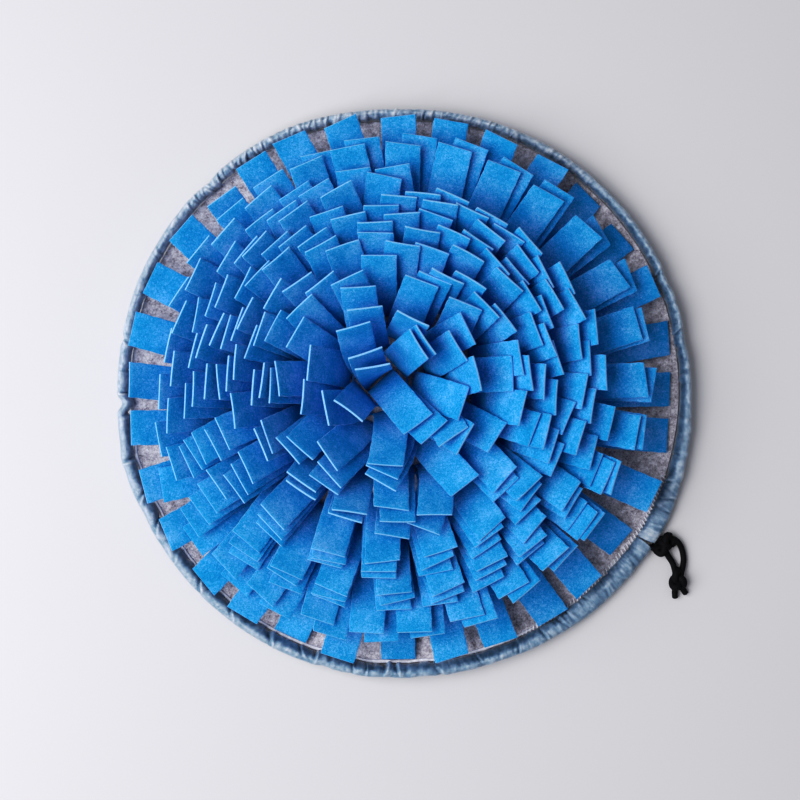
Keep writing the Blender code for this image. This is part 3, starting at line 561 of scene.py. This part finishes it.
bpy.ops.object.select_all(action="DESELECT")
bpy.ops.mesh.primitive_grid_add(x_subdivisions=CASING_SIDES, y_subdivisions=CASING_STATIONS, size=1.0)
casing = bpy.context.object
casing.name = casing.data.name = "nylon_casing"
# the tone of each point carries the casing's painted light and shade
painted_light_tone = casing.data.attributes.new("painted_light_tone", "FLOAT", "POINT")
for vert in casing.data.vertices:
    share = vert.co.y + 0.5
    azimuth = NOTCH_AZIMUTH + 360.0 * share
    middle, outward, tilt, reach, rise = casing_frame(azimuth)
    around = 2.0 * math.pi * (vert.co.x + 0.5) + math.pi  # the tube is closed along its inner seam
    facing = around + tilt
    outer = 0.5 + 0.5 * math.cos(facing)
    swell, painted_paleness = casing_relief(azimuth, facing)
    tilted = Vector((CASING_HALF_WIDTH * math.cos(around), CASING_HALF_THICK * math.sin(around)))
    tilted.rotate(Matrix.Rotation(tilt, 2))
    upright = Vector((reach * math.cos(facing), rise * math.sin(facing)))
    spot = tilted.lerp(upright, PUFFED)
    spot += spot.normalized() * swell * (1.0 - CALM_OUTLINE * max(0.0, math.cos(facing)) ** 2)
    vert.co = middle + outward * spot.x + UP * spot.y
    # painted shade darkens the share of the width by the inner seam, and the rest is painted paler towards
    # the outer edge as a painted highlight
    painted_shade_share, level = edge_at(azimuth)[3:5]
    patch = noise.noise(Vector((azimuth * PAINTED_SHADE_PATCH_SCALE, facing, 0.0)))
    pale = eased(min(1.0, max(0.0, (outer + PAINTED_SHADE_PATCHES * patch - painted_shade_share) / PAINTED_SHADE_EDGE + 0.5)))
    painted_paleness += OPEN_END_PALER if 0.0 < share < OPEN_END_WIDTH else 0.0
    painted_light_tone.data[vert.index].value = PAINTED_SHADE_LEVEL + (level - PAINTED_SHADE_LEVEL) * pale + painted_paleness
    ending = min(share, 1.0 - share) * 360.0 / NOTCH_SOFTNESS
    if ending < 1.0:
        half = NOTCH_INNER_HALF + (NOTCH_OUTER_HALF - NOTCH_INNER_HALF) * outer**2
        half *= 1.0 if share < 0.5 else -1.0
        vert.co += UP.cross(outward) * half * (1.0 - ending) ** 2
    vert.co.z = max(vert.co.z, FLOOR_GAP)
weld()
cloth = casing.modifiers.new("cloth", "SOLIDIFY")
cloth.thickness = NYLON_THICK
cloth.offset = -1.0
bpy.ops.object.modifier_apply(modifier="cloth")
bpy.ops.object.shade_smooth()

nylon = Finish("blue_grey_nylon", roughness=0.36)
# the casing's colour follows its painted light and shade, with a little mottle
painted_light_fac = nylon.node("ShaderNodeAttribute", attribute_name="painted_light_tone").outputs["Fac"]
mottle = nylon.grain(Scale=240.0, Detail=5.0, Roughness=0.65, Distortion=0.8)
nylon.tint(nylon.blend(painted_light_fac, mottle, NYLON_MOTTLE), NYLON_SHADES)
weave = nylon.grain(Scale=1900.0, Detail=2.0)
crumple = nylon.grain(Scale=260.0, Detail=5.0, Roughness=0.7, Distortion=0.6)
nylon.bump(nylon.blend(weave, crumple, NYLON_CRUMPLE), strength=0.9, depth=0.0010)
nylon.sockets["Sheen Weight"].default_value = 0.35
nylon.sockets["Sheen Roughness"].default_value = 0.35
nylon.sockets["Specular IOR Level"].default_value = 0.6
casing.data.materials.append(nylon.material)

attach(casing, "root")
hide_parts("edge_casing")

# --- casing hem -----------------------------------------------------------------------------------
# The hem of the casing's own cloth, a narrow pale lip that lies on the felt along the seam. It is made
# where the casing leaves it in sight, on the left and in front.
HEM_FIRST, HEM_LAST = 186.0, 299.0
HEM_TAPER = 3.0
HEM_STATIONS = 440
HEM_SIDES = 8
HEM_HALF_WIDTH = 0.0014
HEM_HALF_THICK = 0.0006
HEM_INSET = 0.0014  # of its middle from the casing's edge
HEM_LIFT = 1.1  # from the felt to its middle, in half thicknesses
HEM_WAVER = 0.0004
HEM_WAVER_SCALE = 14.0
HEM_UNEVEN = 0.35  # how much its width varies
HEM_SHADES = ((0.32, (0.560, 0.560, 0.650)), (0.62, (0.840, 0.835, 0.920)))
FELT_EDGE_ZONE = 0.19  # radius from which the felt's points are looked at
SEAM_SPAN = 0.01  # radians to either side
SEAM_DEPTH = 0.004  # metres in from the felt's edge
felt_edge = np.array([(math.atan2(v.co.y, v.co.x), v.co.xy.length, v.co.z) for v in base.data.vertices])
felt_edge = felt_edge[felt_edge[:, 1] > FELT_EDGE_ZONE]


def casing_seam(azimuth):
    """Radius of the casing's inner seam at an azimuth, and the height of the felt's top beside it."""
    middle, _, _, reach, _ = casing_frame(azimuth)
    away = (felt_edge[:, 0] - math.radians(azimuth) + math.pi) % (2.0 * math.pi) - math.pi
    near = felt_edge[np.abs(away) < SEAM_SPAN]
    return middle.xy.length - reach, near[near[:, 1] > near[:, 1].max() - SEAM_DEPTH, 2].max()


bpy.ops.object.select_all(action="DESELECT")
bpy.ops.mesh.primitive_grid_add(x_subdivisions=HEM_SIDES, y_subdivisions=HEM_STATIONS, size=1.0)
hem = bpy.context.object
hem.name = hem.data.name = "casing_hem"
for vert in hem.data.vertices:
    azimuth = HEM_FIRST + (HEM_LAST - HEM_FIRST) * (vert.co.y + 0.5)
    turn = math.radians(azimuth)
    around = 2.0 * math.pi * (vert.co.x + 0.5)
    seam, top = casing_seam(azimuth)
    waver = noise.noise(Vector((math.cos(turn) * HEM_WAVER_SCALE, math.sin(turn) * HEM_WAVER_SCALE, 3.0)))
    full = math.sqrt(min(1.0, (azimuth - HEM_FIRST) / HEM_TAPER, (HEM_LAST - azimuth) / HEM_TAPER))
    half_width = full * HEM_HALF_WIDTH * (1.0 + HEM_UNEVEN * waver)
    reach = seam - HEM_INSET + HEM_WAVER * waver + half_width * math.cos(around)
    height = top + full * HEM_HALF_THICK * (HEM_LIFT + math.sin(around))
    vert.co = Vector((math.cos(turn) * reach, math.sin(turn) * reach, height))
weld()
bpy.ops.object.shade_smooth()

hem_nylon = Finish("pale_hem_nylon", roughness=0.45)
hem_nylon.tint(hem_nylon.grain(Scale=300.0, Detail=4.0), HEM_SHADES)
hem.data.materials.append(hem_nylon.material)
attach(hem, "root")

# --- stitches -------------------------------------------------------------------------------------
# White polyester thread, about a millimetre thick, at the lower right: a slanted stitch goes over the
# casing's seam to the felt, then the thread passes back beneath to the next one.
THREAD_RADIUS = 0.00062
THREAD_SHADES = ((0.30, (0.80, 0.81, 0.87)), (0.70, (0.93, 0.94, 0.98)))
STITCH_FIRST, STITCH_LAST = 296.0, 343.0
STITCH_PITCH = 0.0036
STITCH_HALF = 0.0016
STITCH_INSET = 0.0014  # of a stitch's middle from the casing's edge
SEAM_RADIUS = 0.238  # at the stitches, on average
# the thread's four turns in a pitch: share of the pitch, side of the seam, height over the felt
STITCH_TURNS = ((0.0, 1.0, 0.0011), (0.45, -1.0, 0.0003), (0.55, -1.0, -0.0010), (0.92, 1.0, -0.0008))

pitch_angle = STITCH_PITCH / SEAM_RADIUS
stitch_count = round(math.radians(STITCH_LAST - STITCH_FIRST) / pitch_angle)
thread = bpy.data.curves.new("thread", "CURVE")
thread.dimensions = "3D"
thread.bevel_depth = THREAD_RADIUS
thread.bevel_resolution = 1
thread.use_fill_caps = True
spline = thread.splines.new("POLY")
spline.points.add(len(STITCH_TURNS) * stitch_count - 1)
for index, point in enumerate(spline.points):
    stitch, turn_number = divmod(index, len(STITCH_TURNS))
    lean, side, height = STITCH_TURNS[turn_number]
    turn = math.radians(STITCH_FIRST) + (stitch + lean) * pitch_angle
    seam, top = casing_seam(math.degrees(turn))
    reach = seam - STITCH_INSET + STITCH_HALF * side
    point.co = (math.cos(turn) * reach, math.sin(turn) * reach, top + height, 1.0)
stitches = bpy.data.objects.new("zigzag_stitches", thread)
bpy.context.scene.collection.objects.link(stitches)
bpy.ops.object.select_all(action="DESELECT")
bpy.context.view_layer.objects.active = stitches
stitches.select_set(True)
bpy.ops.object.convert(target="MESH")
stitches = bpy.context.object
stitches.data.name = "zigzag_stitches"
bpy.ops.object.shade_smooth()

white_thread = Finish("white_thread", roughness=0.55)
white_thread.tint(white_thread.grain(Scale=1500.0, Detail=2.0), THREAD_SHADES)
stitches.data.materials.append(white_thread.material)
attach(stitches, "root")

# --- fringe ---------------------------------------------------------------------------------------
# Blue needle felt, 1.8 mm thick, slit into strips 30 mm wide and 80 mm long down to an uncut margin that
# is sewn on in rings. A strip is cut out once, flat, and every other one is a copy bent over its own way.
STRIP_WIDTH = 0.0298
STRIP_THICK = 0.0018
STRIP_LENGTH = 0.0800
ROOT_HEIGHT = 0.0074  # of the margin's top, where the strips start
STRIP_COLUMNS = 8
STRIP_ROWS = 22
CUT_ROUNDING = 0.00035
SECTION_SHARES = (0.0, 0.25, 7.0 / 12.0, 1.0)  # how far up a strip its solid has sections
SECTION_SLACK = 4e-5  # by which a section's sides may differ from a strip's
ROOT_SLACK = 1e-4  # by which a root's points may lie over the margin's top
BEND_FULLNESS = 1.02  # how roundly a strip bends between two sections
CUP_DEPTH = 0.0007
CUP_LEVEL = 0.4  # which leaves a cupped strip's mean height as it was
WAVE_DEPTH = 0.0005
WAVE_COUNT = 1.3  # along a strip
WAVE_SLANT = 0.9  # from a strip's middle to its edge, in radians of the wave
RAGGED = 0.00022  # how far the cut strays from straight
RAGGED_COARSE, RAGGED_FINE = 37.0, 83.0  # of the cut's unevenness along a strip, in radians
TIP_SKEW = 0.045  # how far a tip may be cut askew, as a share of the strip's length
FELT_MOTTLE = 0.28  # how much of the tint follows broad patches, the rest single fibres
FELT_SHADES = ((0.34, (0.000, 0.158, 0.420)), (0.50, (0.008, 0.288, 0.692)), (0.64, (0.195, 0.455, 0.950)))
# the cut edges are a paler blue than the faces, a painted highlight where they catch the light
CUT_EDGE_HIGHLIGHT_SHADES = ((0.30, (0.110, 0.350, 0.760)), (0.70, (0.350, 0.595, 0.930)))

felt = Finish("blue_felt_face", roughness=0.93)
fibres = felt.grain(Scale=620.0, Detail=5.0, Roughness=0.75, Distortion=1.2)
mottle = felt.grain(Scale=42.0, Detail=3.0, Roughness=0.6)
felt.tint(felt.blend(fibres, mottle, FELT_MOTTLE), FELT_SHADES)
felt.bump(fibres, strength=0.8, depth=0.0006)
felt.sockets["Sheen Weight"].default_value = 0.22
felt.sockets["Sheen Roughness"].default_value = 0.45
felt.sockets["Sheen Tint"].default_value = (0.05, 0.62, 1.0, 1.0)
felt.sockets["Specular IOR Level"].default_value = 0.06

# cut edges painted paler, a painted highlight
cut_edge_highlight = Finish("blue_felt_cut_edge", roughness=0.95)
cut_edge_highlight.tint(cut_edge_highlight.grain(Scale=1300.0, Detail=4.0, Roughness=0.7), CUT_EDGE_HIGHLIGHT_SHADES)
cut_edge_highlight.sockets["Sheen Weight"].default_value = 0.15
cut_edge_highlight.sockets["Sheen Tint"].default_value = (0.30, 0.70, 1.0, 1.0)
cut_edge_highlight.sockets["Specular IOR Level"].default_value = 0.0

bpy.ops.object.select_all(action="DESELECT")
bpy.ops.mesh.primitive_grid_add(x_subdivisions=STRIP_COLUMNS, y_subdivisions=STRIP_ROWS, size=1.0)
blank = bpy.context.object
blank.name = "strip_blank"
for vert in blank.data.vertices:
    vert.co = Vector((vert.co.x * STRIP_WIDTH, (vert.co.y + 0.5) * STRIP_LENGTH, 0.0))
blank.data.materials.append(felt.material)
blank.data.materials.append(cut_edge_highlight.material)
thicken = blank.modifiers.new("thicken", "SOLIDIFY")
thicken.thickness = STRIP_THICK
thicken.offset = 0.0
# the cut sides take the second material, with its painted highlight
thicken.material_offset_rim = 1
bpy.ops.object.modifier_apply(modifier="thicken")
round_off = blank.modifiers.new("round_off", "BEVEL")
round_off.width = CUT_ROUNDING
round_off.segments = 2
round_off.limit_method = "ANGLE"
round_off.angle_limit = math.radians(60)
bpy.ops.object.modifier_apply(modifier="round_off")
bpy.ops.object.shade_smooth()
flat_points = np.empty(len(blank.data.vertices) * 3, np.float32)
blank.data.vertices.foreach_get("co", flat_points)
flat_points = flat_points.reshape(-1, 3).astype(float)


def strip_sections(piece):
    """Each strip's four sections, root first: (middle, width direction, direction through the felt)."""
    bm = bmesh.new()
    bm.from_mesh(piece.data)
    strips = []
    for face in bm.faces:
        sides = sorted(edge.calc_length() for edge in face.edges)
        if len(sides) != 4 or max(abs(sides[1] - STRIP_THICK), abs(sides[2] - STRIP_WIDTH)) > SECTION_SLACK:
            continue
        if min(vert.co.z for vert in face.verts) < ROOT_HEIGHT + ROOT_SLACK and face.normal.z < -0.9:
            continue  # a root that looks down on the margin
        # the face is a strip's tip, and the sections are followed from there down to its root
        ring, above, sections = set(face.verts), set(), []
        while True:
            corner = min(ring, key=lambda vert: vert.index)
            partner = min(ring - {corner}, key=lambda vert: (vert.co - corner.co).length)
            middle = sum((vert.co for vert in ring), Vector()) / 4.0
            through = (corner.co - partner.co).normalized()
            width = ((corner.co + partner.co) / 2.0 - middle).normalized()
            if sections:
                through *= math.copysign(1.0, through.dot(sections[-1][2]))
                width *= math.copysign(1.0, width.dot(sections[-1][1]))
            sections.append((middle, width, through))
            if len(sections) == len(SECTION_SHARES):
                break
            below = {edge.other_vert(vert) for vert in ring for edge in vert.link_edges} - ring - above
            ring, above = below, ring
        strips.append(sections[::-1])
    bm.free()
    return strips


def bent(points, sections, rng):
    """The flat strip's points, bent along the sections with the strip's own cup, waves and ragged cut."""
    last = len(sections) - 1
    middles = [np.array(section[0]) for section in sections]
    widths = [np.array(section[1]) for section in sections]
    ways = []
    for index, (_, width, through) in enumerate(sections):
        way = np.cross(width, through)
        ahead = middles[min(index + 1, last)] - middles[min(index, last - 1)]
        ways.append(way * math.copysign(1.0, way @ ahead))
    shares = points[:, 1] / STRIP_LENGTH
    skew = TIP_SKEW * rng.uniform(-1.0, 1.0)
    shares = shares + skew * points[:, 0] / STRIP_WIDTH * shares**4
    middle, way, width = (np.zeros_like(points) for _ in range(3))
    for index in range(last):
        low, high = SECTION_SHARES[index], SECTION_SHARES[index + 1]
        here = ((shares >= low) | (index == 0)) & ((shares < high) | (index == last - 1))
        t = ((shares[here] - low) / (high - low))[:, None]
        length = np.linalg.norm(middles[index + 1] - middles[index]) * BEND_FULLNESS
        start, end = middles[index], middles[index + 1]
        leave, arrive = ways[index] * length, ways[index + 1] * length
        middle[here] = (
            start * (2 * t**3 - 3 * t**2 + 1) + leave * (t**3 - 2 * t**2 + t)
            + end * (3 * t**2 - 2 * t**3) + arrive * (t**3 - t**2)
        )
        way[here] = (
            start * (6 * t**2 - 6 * t) + leave * (3 * t**2 - 4 * t + 1)
            + end * (6 * t - 6 * t**2) + arrive * (3 * t**2 - 2 * t)
        )
        width[here] = widths[index] * (1.0 - t) + widths[index + 1] * t
    way /= np.linalg.norm(way, axis=1)[:, None]
    width -= way * (width * way).sum(1)[:, None]
    width /= np.linalg.norm(width, axis=1)[:, None]
    through = np.cross(way, width)
    across = points[:, 0] / (0.5 * STRIP_WIDTH)
    rise = np.clip(shares, 0.0, 1.0)
    phase, cup, wave, edge_phase = (rng.uniform(-1.0, 1.0) for _ in range(4))
    swing = np.sin(2.0 * np.pi * (WAVE_COUNT * rise + phase) + WAVE_SLANT * across)
    lift = CUP_DEPTH * cup * (across**2 - CUP_LEVEL) * rise**1.5 + WAVE_DEPTH * wave * swing * rise
    ragged = np.sin(RAGGED_COARSE * rise + 9.0 * edge_phase)
    ragged += 0.6 * np.sin(RAGGED_FINE * rise + 5.0 * phase + 2.0 * across)
    spread = points[:, 0] + RAGGED * ragged * np.abs(across) ** 3 * rise
    return middle + width * spread[:, None] + through * (points[:, 2] + lift)[:, None]


rng = random.Random(11)
band_nodes = sorted(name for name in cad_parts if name.startswith("fringe_band_"))
for node in band_nodes:
    band = finer_copy(node, node + "_felt")
    strips = strip_sections(band)
    # only the margin is left of the solid, closed where its strips stood
    bpy.ops.object.mode_set(mode="EDIT")
    bpy.ops.mesh.select_all(action="DESELECT")
    bpy.ops.object.mode_set(mode="OBJECT")
    for vert in band.data.vertices:
        vert.select = vert.co.z > ROOT_HEIGHT + ROOT_SLACK
    bpy.ops.object.mode_set(mode="EDIT")
    bpy.ops.mesh.delete(type="VERT")
    bpy.ops.mesh.select_all(action="SELECT")
    bpy.ops.mesh.fill_holes(sides=4)
    bpy.ops.object.mode_set(mode="OBJECT")
    band.data.materials.append(felt.material)
    band.data.materials.append(cut_edge_highlight.material)
    copies = []
    for sections in strips:
        strip = bpy.data.objects.new("strip", blank.data.copy())
        bpy.context.scene.collection.objects.link(strip)
        strip.data.vertices.foreach_set("co", bent(flat_points, sections, rng).astype(np.float32).ravel())
        copies.append(strip)
    bpy.ops.object.select_all(action="DESELECT")
    for strip in copies:
        strip.select_set(True)
    band.select_set(True)
    bpy.context.view_layer.objects.active = band
    bpy.ops.object.join()
    bpy.ops.object.mode_set(mode="EDIT")
    bpy.ops.mesh.select_all(action="SELECT")
    bpy.ops.mesh.normals_make_consistent(inside=False)
    bpy.ops.object.mode_set(mode="OBJECT")
    bpy.ops.object.shade_smooth_by_angle(angle=SMOOTH_ANGLE)
    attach(band, "root")
    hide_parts(node)
bpy.data.objects.remove(blank)
